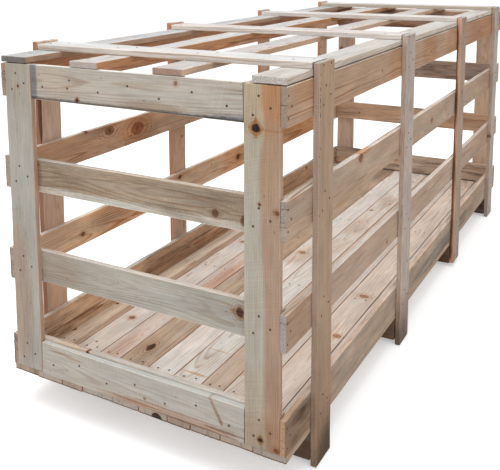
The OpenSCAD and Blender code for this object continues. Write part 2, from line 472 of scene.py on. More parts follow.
def plain_wood(tree, given, radius, across):
    """Sapwood and heartwood, with the outer face and the sawn edges in tones of their own."""
    heart = step_up(tree, minus(tree, given["HeartRadius"], radius), -0.006, 0.006)
    color = tint(tree, heart, given["Tone"], given["Heart"])
    outward = times(tree, split(tree, given["Grain"])[2], given["Outward"])
    color = tint(tree, step_up(tree, outward, 0.0, 4 * MM), color, given["Outside"])
    edge = times(tree, step_down(tree, across, 0.4 * MM, 1.5 * MM), given["EdgeShare"])
    return tint(tree, edge, color, given["Edge"])


def mottled(tree, given, place, color, fibre, streak, torn):
    """Clouds, warm patches and streaks, then fibres, grit, torn fibres and specks."""
    cloud = noise(tree, place, (5, 18, 18), 3.0, 0.6)
    cloud = times(tree, step_up(tree, cloud, 0.25, 0.75, -0.26, 0.20), given["Mottle"])
    color = shaded(tree, color, plus(tree, cloud, 1.0))
    hue = noise(tree, place, (2.1, 11, 11), 2.0, 0.55)
    hue = tint(tree, step_up(tree, hue, 0.36, 0.64), COOL_PATCH, WARM_PATCH)
    color = dye(tree, given["Mottle"], color, hue)
    warm = times(tree, step_up(tree, streak, 0.50, 0.74), given["Mottle"])
    color = dye(tree, warm, color, WARM_STREAK)
    color = shaded(tree, color, step_up(tree, fibre, 0.30, 0.68, 0.86, 1.08))
    grit = noise(tree, place, (170, 420, 420), 3.0, 0.7)
    color = shaded(tree, color, step_up(tree, grit, 0.22, 0.40, 0.78, 1.0))
    fuzz = times(tree, step_up(tree, torn, 0.30, 0.70, -0.42, 0.30), given["Weather"])
    color = shaded(tree, color, plus(tree, fuzz, 1.0))
    cells = vector(tree, "MULTIPLY", place, (16, 40, 40))
    specks = put(tree, "ShaderNodeTexVoronoi", {"Vector": cells, "Scale": 1.0})
    return dye(tree, step_down(tree, specks, 0.035, 0.085, 0.75), color, SPECK)


def knotted(tree, given, color, knot):
    """The knots' halos and rings, their own wood and their resin."""
    halo = step_down(tree, given["Distance"], 0.9, 2.6, 0.3)
    color = dye(tree, halo, color, KNOT_HALO)
    color = dye(tree, given["Rings"], color, KNOT_RINGS)
    knot_ring = calc(tree, "SINE", times(tree, given["Distance"], 19.0))
    knot_tone = step_up(tree, knot_ring, -1.0, 1.0, 0.70, 1.0)
    color = tint(tree, knot, color, shaded(tree, dye(tree, 1.0, color, KNOT_WOOD), knot_tone))
    return dye(tree, given["Resin"], color, RESIN)


def weathered(tree, given, place, color):
    """Weathering greys a board in patches and draws dark streaks along it."""
    grey = step_up(tree, noise(tree, place, (2.8, 34, 34), 4.0, 0.65), 0.34, 0.72)
    color = tint(tree, times(tree, grey, given["Weather"]), color, WEATHERED)
    streaks = step_up(tree, noise(tree, place, (3.6, 38, 38), 6.0, 0.74), 0.47, 0.66)
    return dye(tree, times(tree, streaks, given["Streaks"]), color, DARK_STREAK)


def worn_and_cut(tree, given, place, color, across, through):
    """Arrises are scuffed, and end grain has a tone of its own and open pores."""
    scuff_noise = noise(tree, place, (55, 260, 260), 1.0)
    scuff = plus(tree, calc(tree, "MAXIMUM", across, through), times(tree, scuff_noise, 4 * MM))
    scuff = step_down(tree, scuff, 1.8 * MM, 5 * MM)
    color = dye(tree, times(tree, scuff, 0.6), color, SCUFF)
    normal = put(tree, "ShaderNodeTexCoord", output=1)
    end = calc(tree, "ABSOLUTE", vector(tree, "DOT_PRODUCT", normal, given["Along"]))
    pores = noise(tree, place, (60, 380, 380), 4.0, 0.75)
    pores = times(tree, step_up(tree, pores, 0.30, 0.66, -0.50, 0.24), given["Pores"])
    end_color = shaded(tree, tint(tree, 0.6, color, given["End"]), plus(tree, pores, 1.0))
    return tint(tree, step_up(tree, end, 0.55, 0.85), color, end_color)


def saw_marks(tree, given, place):
    """Fine teeth and uneven bands that the saw left across the grain, as a height about 0."""
    x, y = split(tree, place)[:2]
    slanted = plus(tree, x, times(tree, y, given["Slant"]))
    waver = noise(tree, place, (12, 12, 12), 0.0)
    teeth = calc(tree, "SINE", plus(tree, times(tree, slanted, 760.0), times(tree, waver, 26.0)))
    bands = put(tree, "ShaderNodeCombineXYZ", {0: slanted})
    bands = minus(tree, noise(tree, bands, (150, 1, 1), 4.0, 0.75), 0.5)
    sawn = step_up(tree, noise(tree, place, (5, 16, 16), 1.0), 0.36, 0.62, 0.15, 1.0)
    return times(tree, plus(tree, times(tree, teeth, 0.05), bands), times(tree, sawn, given["Saw"]))


def make_softwood_group():
    """Rough-sawn softwood: growth rings about a pith line, fibres, saw marks, knots, weathering."""
    inputs = {"Vector": "Grain Warped Seed Along Half Pith Lean", "Color": "Tone Heart End Edge Outside",
              "Float": "Distance Dark Resin Rings Ring Figure HeartRadius Pores EdgeShare Outward Mottle"
                       " Weather Streaks Saw Slant"}
    outputs = {"Color": "Color", "Float": "Roughness Height"}
    tree, given, out = group("Softwood", inputs, outputs)
    place = vector(tree, "ADD", given["Grain"], given["Seed"])
    radius, late = growth_rings(tree, given, place)
    fibre = noise(tree, place, (12, 420, 420), 3.0, 0.65)
    streak = noise(tree, place, (3.2, 150, 150), 4.0, 0.65)
    torn = noise(tree, place, (26, 150, 150), 3.0, 0.6)
    knot = step_down(tree, given["Distance"], 0.82, 1.05)
    from_arris = vector(tree, "SUBTRACT", given["Half"], vector(tree, "ABSOLUTE", given["Grain"]))
    across, through = split(tree, from_arris)[1:]

    color = plain_wood(tree, given, radius, across)
    color = dye(tree, late, color, LATEWOOD)
    color = mottled(tree, given, place, color, fibre, streak, torn)
    color = knotted(tree, given, color, knot)
    color = weathered(tree, given, place, color)
    color = worn_and_cut(tree, given, place, color, across, through)

    # Black knots and the knots' rims show on the ends too
    soot = tint(tree, step_up(tree, torn, 0.38, 0.66), KNOT_BLACK, KNOT_BROWN)
    color = tint(tree, given["Dark"], color, soot)
    rim = step_down(tree, calc(tree, "ABSOLUTE", minus(tree, given["Distance"], 0.98)), 0.0, 0.22)
    rim = times(tree, rim, step_up(tree, given["Dark"], 0.0, 0.5, 0.10, 0.8))
    color = tint(tree, rim, color, KNOT_RIM)

    saw = saw_marks(tree, given, place)
    color = shaded(tree, color, plus(tree, times(tree, saw, 0.48), 1.0))
    roughness = minus(tree, 0.86, times(tree, late, 0.10))
    roughness = minus(tree, roughness, times(tree, knot, 0.18))
    roughness = plus(tree, roughness, times(tree, minus(tree, fibre, 0.5), 0.16))
    height = times(tree, fibre, 0.9)
    for relief, share in ((streak, 0.5), (late, 0.5), (saw, 0.35), (rim, -0.8)):
        height = plus(tree, height, times(tree, relief, share))
    tree.links.new(color, out["Color"])
    tree.links.new(roughness, out["Roughness"])
    tree.links.new(height, out["Height"])
    return tree


KNOT = make_knot_group()
STAIN = make_stain_group()
BARK = make_bark_group()
SOFTWOOD = make_softwood_group()


# ---------------------------------------------------------------- the wood of each board

END_GREY = srgb(154, 151, 146)
END_PINK = srgb(118, 99, 84)
EDGE_PALE = srgb(208, 200, 192)
HEARTWOOD = srgb(176, 144, 120)

# Tints that stains, dirt and painted shade multiply the wood by
PALE_BAND = (1.50, 1.75, 2.05, 1)
HONEY = (1.06, 0.94, 0.80, 1)
PINK_STAIN = (0.92, 0.72, 0.62, 1)
ORANGE_HAZE = (1.0, 0.84, 0.68, 1)
ORANGE_STAIN = (0.88, 0.62, 0.40, 1)
RUST_STAIN = (0.70, 0.47, 0.33, 1)
BROWN_HAZE = (0.82, 0.70, 0.60, 1)
BROWN_STAIN_AND_SHADE = (0.42, 0.27, 0.18, 1)
BLUE_STAIN = (0.44, 0.48, 0.56, 1)
GREY_DIRT_AND_SHADE = (0.50, 0.49, 0.50, 1)
PALE_DIRT = (0.80, 0.74, 0.68, 1)
DIRT = (0.62, 0.54, 0.48, 1)
MOULD_AND_SHADE = (0.36, 0.38, 0.34, 1)
BLACK_STAIN_AND_SHADE = (0.12, 0.09, 0.08, 1)

# A stain's reach that covers a board, the two that stay on one of its faces, and how softly its
# rim fades
ALL = 9.0
INNER = 16 * MM
SKIN = 4 * MM
SOFT = 0.6
CRISP = 0.12

# How high the grain, the saw marks and the knots stand off a board at full strength
GRAIN_RELIEF = 0.45 * MM

# Which edge of a board a waney arris is on, as a sign along the board's own y axis, and which
# face it eats into, as a sign along its z axis
FRONT_SIDE = -1
LEFT_SIDE = -1
TOP_FACE = -1
INNER_FACE_RIGHT = 1
INNER_FACE_LEFT = -1


# A board's wood where neither its kind nor the board itself says otherwise. What a board is cut
# from comes first, then the marks it carries, and then its shape
USUAL_WOOD = dict(
    heart=HEARTWOOD, heart_radius=0.0, pith=None, ring=None, figure=0.8, end=END_GREY, pores=1.0,
    edge=None, outside=None, mottle=0.8, weather=0.2, streaks=0.0, saw=0.6,
    knots_per_metre=1.6, knots=(), wear=1.1 * MM, ragged=1 * MM, wane=None)


def chance_knots(board, rng, per_metre):
    """Knots strewn along a board, as (place from its middle, radius, darkness)."""
    length = 2 * board.half[0]
    for _ in range(rng.poisson(per_metre * length)):
        place = (rng.uniform(-0.96, 0.96) * board.half[0], rng.uniform(-0.85, 0.85) * board.half[1])
        yield place, rng.choice([3.5, 5, 7, 9.5], p=[0.4, 0.3, 0.2, 0.1]) * MM, rng.choice([0.1, 0.35, 0.8])


def wood_material(board, wood):
    """The board's own material, from the shared softwood, knot and stain groups."""
    rng = rng_for("wood", board.node)
    material, tree = blank_material(board.node + "_softwood")
    grain = put(tree, "ShaderNodeAttribute", output="Vector", attribute_name="grain")

    knots = [(board.local(place)[:2], *others) for place, *others in wood.knots]
    knots += list(chance_knots(board, rng, wood.knots_per_metre))
    marks = {"Warped": grain, "Distance": 9.0, "Dark": 0.0, "Resin": 0.0, "Rings": 0.0}
    ragged = vector(tree, "SUBTRACT", noise(tree, grain, (90, 110, 110), 2.0, output=1), (0.5, 0.5, 0.5))
    for place, radius, darkness, *form in knots:
        stretch, swirl = form or (1.0, 1.0)
        knot = use(tree, KNOT, {
            "Grain": grain, "Ragged": ragged, "Centre": (*place, 0), "Radius": radius,
            "Darkness": darkness, "Stretch": stretch, "Swirl": swirl, **marks,
        })
        marks = {name: knot[name] for name in marks}

    chance_pith = (rng.uniform(-0.9, 0.9) * board.half[1], rng.choice([-1, 1]) * rng.uniform(18, 60) * MM)
    softwood = use(tree, SOFTWOOD, {
        "Grain": grain, **marks,
        "Seed": rng.uniform(-40, 40, 3), "Along": board.axes[0], "Half": board.half,
        "Pith": (0, *(wood.pith or chance_pith)), "Lean": (0, *(rng.normal(0, 0.016, 2))),
        "Ring": wood.ring or rng.uniform(2.6, 5.2) * MM, "Figure": wood.figure * rng.uniform(0.75, 1.1),
        "Tone": wood.tone, "Heart": wood.heart, "HeartRadius": wood.heart_radius,
        "End": wood.end, "Pores": wood.pores,
        "Edge": wood.edge or wood.tone, "EdgeShare": 1.0 if wood.edge else 0.0,
        "Outside": wood.outside or wood.tone, "Outward": board.outward if wood.outside else 0.0,
        "Mottle": wood.mottle, "Weather": wood.weather, "Streaks": wood.streaks, "Saw": wood.saw,
        "Slant": rng.uniform(-0.45, 0.45),
    })
    color = softwood["Color"]
    height = softwood["Height"]
    if wood.wane:
        bark = put(tree, "ShaderNodeAttribute", output="Fac", attribute_name="bark")
        color, height = use(tree, BARK, {"Grain": grain, "Bark": bark, "Color": color, "Height": height})
    ragged = noise(tree, grain, (60, 240, 240), 4.0, 0.65) if wood.stains else 0.5
    for place, reach, tone, strength, *soft in wood.stains:
        color = use(tree, STAIN, {
            "Grain": grain, "Ragged": ragged, "Color": color, "Centre": board.local(place),
            "Reach": np.abs(board.axes @ np.array(reach)), "Tint": tone, "Strength": strength,
            "Soft": soft[0] if soft else SOFT,
        })["Color"]
    bump = put(tree, "ShaderNodeBump", {"Strength": 0.75, "Distance": GRAIN_RELIEF, "Height": height})
    shader = put(tree, "ShaderNodeBsdfPrincipled", {
        "Base Color": color, "Roughness": softwood["Roughness"], "Normal": bump,
        "Specular IOR Level": 0.25,
    })
    put(tree, "ShaderNodeOutputMaterial", {"Surface": shader})
    return material


# Where the faces that carry marks lie: the front of the crate, the floor, the insides of the left
# rails, the outsides of the right rails and uprights, and the backs of the inner boards at the rear
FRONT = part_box("front_post_left")[0][1]
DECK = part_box("floor_board_1")[1][2]
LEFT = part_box("left_rail_1")[1][0]
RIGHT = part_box("right_rail_1")[1][0]
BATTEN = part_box("right_batten_1")[1][0]
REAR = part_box("rear_board_1")[1][1]


def on_front(x, z, reach_x, reach_z, *look):
    """A stain or painted shade right through a board at the front end. Its look is its tint, its strength
    and, if it isn't soft, its softness."""
    return (x, FRONT, z), (reach_x, 1, reach_z), *look


def on_deck(x, y, reach_x, reach_y, *look):
    """A stain on the top of the floor."""
    return (x, y, DECK), (reach_x, reach_y, 1), *look


def on_left(y, z, reach_y, reach_z, *look):
    """A stain on the inside of a left rail only."""
    return (LEFT, y, z), (INNER, reach_y, reach_z), *look


def on_right(y, z, reach_y, reach_z, *look):
    """A stain right through a board of the right side."""
    return (RIGHT, y, z), (1, reach_y, reach_z), *look


# Each kind of board: the record's slot that it takes its finish from, and its usual wood. Its
# stains, painted shade among them, come before those of the board itself
KINDS = {
    "floor_board": ("floor_wood", dict(
        tone=srgb(218, 208, 199), weather=0.06, mottle=0.5, figure=0.75, knots_per_metre=0.5,
        end=END_PINK, pores=0.4, edge=srgb(172, 130, 102), ragged=3.5 * MM,
        # The dark brown band along the lower arris of each board's front end is painted shade beneath the
        # floor
        stains=[((0, FRONT, 0.1), (ALL, 0.03, 0.004), BROWN_STAIN_AND_SHADE, 0.9, CRISP)])),
    "bearer": ("bearer_wood", dict(
        tone=srgb(128, 105, 84), weather=0.35, streaks=0.3, wear=2.2 * MM,
        # The grey tint over each bearer's outer 0.22 m darkens its two ends: painted shade
        stains=[((0.47, 0, 0), (0.22, ALL, ALL), GREY_DIRT_AND_SHADE, 1.0),
                ((-0.47, 0, 0), (0.22, ALL, ALL), GREY_DIRT_AND_SHADE, 1.0)])),
    "left_rail": ("rail_wood", dict(
        tone=srgb(206, 160, 124), outside=srgb(176, 152, 134), mottle=1.0, weather=0.05, figure=1.1,
        edge=EDGE_PALE)),
    "right_rail": ("rail_wood", dict(tone=srgb(172, 148, 130), weather=0.08, edge=EDGE_PALE)),
    "left_batten": ("upright_wood", dict(
        tone=srgb(214, 182, 160), outside=srgb(172, 156, 144), mottle=0.8, weather=0.1,
        edge=srgb(178, 128, 98))),
    "right_batten": ("upright_wood", dict(
        tone=srgb(170, 154, 142), mottle=0.5, figure=0.4, weather=0.2, edge=srgb(178, 158, 144))),
    "front_post": ("end_outer_wood", dict(
        tone=srgb(170, 163, 152), mottle=0.4, weather=0.04, knots_per_metre=0, edge=srgb(176, 150, 132))),
    "front_fill": ("end_outer_wood", dict(
        tone=srgb(176, 170, 160), mottle=0.4, weather=0.04, saw=1.0, knots_per_metre=0,
        edge=srgb(199, 199, 194))),
    "front_board": ("end_inner_wood", dict(
        tone=srgb(166, 158, 148), weather=0.2, knots_per_metre=0, edge=EDGE_PALE)),
    "rear_post": ("end_outer_wood", dict(
        tone=srgb(192, 167, 148), outside=srgb(172, 162, 150), weather=0.15)),
    "rear_fill": ("end_outer_wood", dict(tone=srgb(178, 166, 152), weather=0.25, edge=EDGE_PALE)),
    "rear_board": ("end_inner_wood", dict(
        tone=srgb(180, 154, 134), outside=srgb(168, 156, 144), weather=0.35, streaks=0.5,
        edge=srgb(190, 172, 156))),
    "lid_slat": ("lid_wood", dict(
        tone=srgb(174, 170, 166), mottle=0.5, weather=0.15, edge=srgb(190, 152, 126))),
    "lid_batten": ("lid_wood", dict(
        tone=srgb(184, 183, 182), mottle=0.4, weather=0.06, edge=srgb(212, 205, 199))),
}

# Boards whose own knots, stains and figure can be told apart. A knot is its place in metres, its
# radius, how black it is and, if it isn't plain, its stretch along the grain and how far the grain
# swirls round it. A stain, or a patch of painted shade, is its place, its reach along x, y and z, its
# tint, strength and softness
BOARDS = {
    "front_post_left": dict(
        tone=srgb(168, 164, 156), figure=0.35, saw=0.9, pith=(-0.012, -0.045),
        knots=[((-0.403, FRONT, 1.012), 4 * MM, 0.5)],
        stains=[on_front(-0.43, 0.36, 0.06, 0.27, PINK_STAIN, 0.8),
                on_front(-0.40, 1.06, 0.09, 0.12, BROWN_HAZE, 0.35)]),
    "front_post_right": dict(
        tone=srgb(174, 169, 157), heart=srgb(167, 143, 124), heart_radius=0.071, figure=0.6, saw=1.0,
        pith=(0.068, 0.02),
        knots=[((0.387, FRONT, 0.969), 12 * MM, 1.0, 1.0, 1.5), ((0.397, FRONT, 0.777), 4 * MM, 0.6),
               ((0.445, FRONT, 0.762), 7 * MM, 0.2), ((0.398, FRONT, 0.146), 7 * MM, 0.9),
               ((0.444, FRONT, 0.131), 8 * MM, 0.2)],
        stains=[on_front(0.432, 1.045, 0.045, 0.065, ORANGE_HAZE, 0.75),
                on_front(0.400, 1.050, 0.09, 0.12, HONEY, 0.7),
                on_front(0.400, 0.960, 0.09, 0.20, HONEY, 0.5),
                on_front(0.430, 0.966, 0.040, 0.004, ORANGE_STAIN, 0.6),
                on_front(0.40, 0.24, 0.09, 0.13, BROWN_HAZE, 0.4),
                on_front(0.40, 0.12, 0.09, 0.11, BROWN_HAZE, 0.7)]),
    "front_fill_top": dict(
        tone=srgb(182, 174, 164), figure=0.6, pith=(0.01, -0.05),
        knots=[((-0.212, FRONT, 1.020), 3 * MM, 0.6), ((-0.177, FRONT, 0.989), 6 * MM, 0.8),
               ((0.155, FRONT, 1.062), 6 * MM, 0.1)],
        stains=[on_front(-0.353, 1.03, 0.026, 0.15, BLUE_STAIN, 1.0, 0.4),
                on_front(0.34, 0.976, 0.13, 0.024, BLUE_STAIN, 0.9),
                # The grey and near-black bands along the whole bottom edge are partly dirt and partly
                # painted shade of the gap below
                on_front(0.0, 0.979, ALL, 0.010, GREY_DIRT_AND_SHADE, 1.0),
                on_front(0.0, 0.978, ALL, 0.006, MOULD_AND_SHADE, 0.9),
                on_front(0.08, 0.993, 0.12, 0.018, PALE_DIRT, 1.0),
                on_front(-0.27, 1.03, 0.11, 0.07, BROWN_HAZE, 0.3)]),
    "front_fill_bottom": dict(
        tone=srgb(178, 172, 164), figure=0.35, saw=1.2, pith=(-0.02, -0.05),
        stains=[on_front(0.247 + step * 0.0045, 0.219 - step * 0.0078,
                         0.0042 + step * 0.0002, 0.009, RUST_STAIN, 0.6 + step * 0.04)
                for step in range(9)]
        + [on_front(-0.275, 0.203, 0.055, 0.003, RUST_STAIN, 0.9),
           on_front(-0.225, 0.196, 0.040, 0.0025, ORANGE_STAIN, 0.8),
           on_front(0.12, 0.127, 0.26, 0.016, PINK_STAIN, 1.0),
           on_front(0.15, 0.142, 0.20, 0.0025, RUST_STAIN, 0.8),
           on_front(0.01, 0.131, 0.10, 0.0030, RUST_STAIN, 0.8),
           on_front(0.29, 0.134, 0.08, 0.0045, BROWN_STAIN_AND_SHADE, 0.7),
           on_front(0.20, 0.123, 0.16, 0.0030, BROWN_STAIN_AND_SHADE, 0.7),
           on_front(0.033, 0.151, 0.006, 0.004, BROWN_STAIN_AND_SHADE, 0.9)]),
    "front_board_2": dict(
        tone=srgb(160, 144, 124), weather=0.3, streaks=0.35, saw=1.2, pith=(0.0, -0.04),
        knots=[((0.259, FRONT, 0.727), 11 * MM, 0.35), ((0.348, FRONT, 0.724), 7 * MM, 0.6),
               ((-0.358, FRONT, 0.776), 6 * MM, 0.9)],
        stains=[on_front(0.0, 0.686, ALL, 0.026, PALE_BAND, 1.0, 0.35),
                on_front(0.342, 0.718, 0.010, 0.016, BROWN_STAIN_AND_SHADE, 0.9),
                on_front(-0.353, 0.74, 0.016, 0.06, BROWN_HAZE, 0.9)]),
    "front_board_3": dict(
        tone=srgb(170, 166, 158), mottle=0.5, weather=0.12, figure=0.9, pith=(0.0, -0.03),
        knots=[((0.331, FRONT, 0.471), 13 * MM, 0.8, 1.0, 2.4), ((-0.357, FRONT, 0.441), 4 * MM, 0.9)],
        stains=[on_front(0.225, 0.465, 0.09, 0.03, BROWN_STAIN_AND_SHADE, 0.2),
                on_front(-0.30, 0.46, 0.12, 0.06, BROWN_HAZE, 0.6)]),
    "front_board_4": dict(
        tone=srgb(208, 204, 198), knots=[((-0.186, FRONT, 0.222), 5 * MM, 0.8)],
        stains=[on_front(-0.25, 0.222, 0.07, 0.010, ORANGE_STAIN, 0.5)]),
    "floor_board_1": dict(
        tone=srgb(224, 206, 186), streaks=0.3, knots_per_metre=1.5,
        stains=[on_deck(-0.385, 0.0, 0.016, 2.0, BROWN_STAIN_AND_SHADE, 0.6)]),
    "floor_board_2": dict(
        tone=srgb(228, 220, 212),
        knots=[((-0.329, -0.940, DECK), 12 * MM, 0.35), ((-0.332, -0.106, DECK), 11 * MM, 0.1)]),
    "floor_board_3": dict(
        tone=srgb(222, 208, 198), figure=0.9,
        stains=[on_deck(-0.222, -0.515, 0.03, 0.25, PINK_STAIN, 1.0),
                on_deck(-0.235, -1.16, 0.03, 0.2, PINK_STAIN, 0.8)]),
    "floor_board_4": dict(
        tone=srgb(192, 172, 152), end=srgb(168, 164, 162), figure=1.1, mottle=0.9,
        knots=[((-0.151, -1.077, DECK), 11 * MM, 0.8, 2.6, 1.6)],
        stains=[on_deck(-0.14, 0.45, 0.1, 0.75, BROWN_HAZE, 0.45),
                on_deck(-0.14, 1.40, 0.1, 0.35, DIRT, 0.7)]),
    "floor_board_5": dict(
        tone=srgb(232, 226, 220), knots=[((-0.047, -0.091, DECK), 15 * MM, 0.1)],
        stains=[on_deck(-0.080, -1.20, 0.010, 0.03, ORANGE_STAIN, 0.8),
                on_deck(-0.047, -0.12, 0.06, 0.13, BROWN_HAZE, 0.8)]),
    "floor_board_6": dict(
        tone=srgb(226, 220, 212), saw=1.0,
        knots=[((0.03, 0.585, DECK), 10 * MM, 0.1)],
        stains=[((0.071, FRONT, 0.104), (0.017, 0.010, 0.014), BLACK_STAIN_AND_SHADE, 1.0, 0.3),
                on_deck(0.05, 0.05, 0.06, 0.12, BROWN_HAZE, 0.6),
                on_deck(0.06, -1.142, 0.05, 0.007, ORANGE_STAIN, 0.9),
                on_deck(0.055, -0.988, 0.05, 0.005, ORANGE_STAIN, 0.7),
                on_deck(0.055, -1.06, 0.04, 0.07, RUST_STAIN, 0.25),
                on_deck(0.05, 0.33, 0.05, 0.16, RUST_STAIN, 0.45),
                on_deck(0.06, 0.77, 0.05, 0.10, RUST_STAIN, 0.40)]),
    "floor_board_7": dict(tone=srgb(208, 188, 170), figure=0.9),
    "floor_board_9": dict(
        tone=srgb(228, 212, 198),
        knots=[((0.328, -0.374, DECK), 17 * MM, 0.1), ((0.350, -0.708, DECK), 14 * MM, 0.1)],
        stains=[on_deck(0.33, 1.40, 0.1, 0.30, DIRT, 0.5)]),
    "floor_board_10": dict(edge=srgb(170, 148, 128)),
    "bearer_1": dict(tone=srgb(129, 102, 79)),
    "bearer_2": dict(tone=srgb(168, 130, 96)),
    "bearer_3": dict(tone=srgb(134, 100, 74)),
    "bearer_4": dict(tone=srgb(106, 76, 57)),
    "left_rail_1": dict(
        tone=srgb(214, 178, 152),
        stains=[on_left(-0.45, 1.03, 0.60, 1, ORANGE_HAZE, 1.0),
                on_left(-1.30, 1.03, 0.30, 1, RUST_STAIN, 0.7),
                on_left(0.60, 1.03, 0.40, 1, RUST_STAIN, 0.7)]),
    "left_rail_2": dict(
        tone=srgb(192, 158, 132), figure=1.1, knots_per_metre=0.6, pith=(-0.03, 0.03),
        knots=[((LEFT, -0.880, 0.772), 15 * MM, 0.1, 2.0, 1.5), ((LEFT, -0.880, 0.772), 5 * MM, 0.5),
               ((LEFT, -0.712, 0.748), 22 * MM, 0.05, 2.0, 1.5), ((LEFT, -0.712, 0.748), 7 * MM, 0.3),
               ((LEFT, -1.009, 0.795), 6 * MM, 0.8)],
        stains=[on_left(-0.72, 0.745, 0.14, 0.05, ORANGE_HAZE, 0.9)]),
    "left_rail_3": dict(
        tone=srgb(226, 194, 164), end=srgb(113, 114, 120), figure=1.1, knots_per_metre=0.4,
        knots=[((LEFT, -1.043, 0.440), 8 * MM, 0.4, 1.6, 1.5),
               ((LEFT, -0.425, 0.484), 8 * MM, 0.6, 1.6, 1.5),
               ((LEFT, 0.077, 0.453), 12 * MM, 0.6, 1.6, 1.5)],
        stains=[on_left(-0.84, 0.461, 0.18, 0.08, BROWN_HAZE, 0.9),
                on_left(0.08, 0.45, 0.16, 0.08, BROWN_HAZE, 0.9),
                on_left(0.75, 0.45, 0.40, 0.2, ORANGE_STAIN, 0.9)]),
    "left_rail_4": dict(
        tone=srgb(230, 196, 164), end=srgb(70, 73, 91), streaks=0.8, knots_per_metre=0.5,
        stains=[on_left(0.39, 0.17, 1.0, 0.5, GREY_DIRT_AND_SHADE, 0.6, CRISP),
                on_left(-0.45, 0.15, 0.30, 0.04, BROWN_STAIN_AND_SHADE, 0.45),
                on_left(-1.05, 0.155, 0.12, 0.006, BROWN_STAIN_AND_SHADE, 0.9)]),
    "right_rail_1": dict(
        tone=srgb(174, 146, 122), end=srgb(143, 135, 127), figure=1.2, ring=5.4 * MM, mottle=0.5,
        weather=0.03, knots_per_metre=0.5, pith=(-0.01, 0.03),
        stains=[on_right(-1.25, 1.055, 0.10, 0.04, ORANGE_HAZE, 0.8),
                on_right(-0.49, 1.04, 0.10, 0.2, ORANGE_HAZE, 0.9),
                on_right(-0.08, 1.03, 0.11, 0.2, ORANGE_STAIN, 0.55),
                on_right(0.28, 1.03, 0.10, 0.2, ORANGE_STAIN, 0.5),
                on_right(1.00, 1.03, 0.50, 0.2, ORANGE_STAIN, 0.5),
                on_right(1.00, 1.03, 0.60, 0.2, BROWN_HAZE, 0.4)]),
    "right_rail_2": dict(
        tone=srgb(176, 154, 134), figure=1.2, mottle=0.6, knots_per_metre=0.3,
        knots=[((RIGHT, -0.843, 0.781), 13 * MM, 0.3, 1.5, 1.5), ((RIGHT, -0.023, 0.742), 10 * MM, 0.3)],
        stains=[on_right(-0.80, 0.794, 0.06, 0.012, ORANGE_STAIN, 0.9),
                on_right(1.10, 0.75, 0.25, 0.2, BROWN_HAZE, 0.7)]),
    "right_rail_3": dict(
        tone=srgb(176, 154, 136), end=srgb(176, 192, 204), figure=0.9, mottle=0.5,
        knots_per_metre=0.3,
        knots=[((RIGHT, -0.567, 0.424), 5 * MM, 0.6)],
        stains=[on_right(-1.33, 0.45, 0.13, 0.2, BROWN_HAZE, 0.9),
                on_right(1.00, 0.45, 0.30, 0.2, BROWN_HAZE, 0.5)]),
    "right_rail_4": dict(
        tone=srgb(170, 150, 130), edge=srgb(206, 184, 168), end=srgb(178, 140, 110), figure=1.0,
        mottle=0.9, weather=0.25, streaks=0.3, knots_per_metre=0.6,
        stains=[on_right(0.30, 0.158, 0.62, 0.024, BLUE_STAIN, 0.6),
                on_right(0.25, 0.130, 0.45, 0.012, MOULD_AND_SHADE, 0.6),
                ((RIGHT, -1.34, 0.17), (SKIN, 0.15, 0.2), DIRT, 0.9),
                ((RIGHT, -1.25, 0.185), (SKIN, 0.05, 0.03), MOULD_AND_SHADE, 0.6),
                ((RIGHT, -1.32, 0.140), (SKIN, 0.03, 0.012), MOULD_AND_SHADE, 0.4),
                ((RIGHT, -1.29, 0.195), (SKIN, 0.05, 0.02), BROWN_STAIN_AND_SHADE, 0.6),
                ((0.462, -1.31, 0.22), (0.016, 0.08, 0.004), ORANGE_HAZE, 0.9)]),
    "right_batten_1": dict(
        tone=srgb(168, 142, 118), mottle=0.6, figure=0.35, weather=0.16, saw=1.3, knots_per_metre=0.3,
        stains=[((BATTEN, -1.162, 0.02), (1, 1, 0.42), PALE_DIRT, 0.8),
                ((BATTEN, -1.162, -0.02), (1, 1, 0.22), DIRT, 0.6),
                ((BATTEN, -1.142, -0.01), (1, 0.08, 0.12), MOULD_AND_SHADE, 0.9)]
        # Black spots along the front arris are painted shade in its nicks
        + [((BATTEN, -1.207 + 0.0022 * math.sin(z * 71), z), (0.003, 0.0022, reach * MM), BLACK_STAIN_AND_SHADE, 1.0)
           for z, reach in ((1.086, 3), (1.062, 2), (1.049, 6), (1.034, 3), (1.019, 8), (1.001, 4),
                            (0.980, 7), (0.962, 2), (0.893, 4), (0.872, 3), (0.846, 2), (0.713, 3))]),
    "right_batten_2": dict(
        tone=srgb(176, 162, 154), weather=0.35, knots_per_metre=0.3,
        stains=[((BATTEN, -0.387, 0.866), (1, 0.02, 0.03), ORANGE_STAIN, 0.7),
                ((BATTEN, -0.40, 0.02), (1, 1, 0.17), DIRT, 0.8),
                ((BATTEN, -0.42, 0.0), (1, 0.07, 0.10), MOULD_AND_SHADE, 0.7)]),
    "right_batten_3": dict(
        tone=srgb(160, 140, 122), mottle=0.7, weather=0.25, edge=srgb(192, 148, 120),
        wane=(FRONT_SIDE, INNER_FACE_RIGHT, 7 * MM, -0.55, 0.55)),
    "right_batten_4": dict(tone=srgb(174, 164, 156), weather=0.35, edge=srgb(158, 136, 120)),
    "left_batten_1": dict(
        tone=srgb(218, 188, 166), edge=srgb(168, 118, 92),
        wane=(FRONT_SIDE, INNER_FACE_LEFT, 4.5 * MM, 0.16, 0.42)),
    "left_batten_2": dict(tone=srgb(200, 168, 146)),
    "rear_post_right": dict(tone=srgb(200, 170, 146)),
    "rear_board_1": dict(
        tone=srgb(156, 120, 98), weather=0.3, streaks=1.0, knots_per_metre=0.5,
        knots=[((0.168, REAR, 0.779), 9 * MM, 1.0)]),
    "rear_board_2": dict(tone=srgb(158, 138, 126), weather=0.3, streaks=0.9),
    "rear_board_3": dict(tone=srgb(194, 162, 136), weather=0.15, streaks=0.5),
    "rear_board_4": dict(
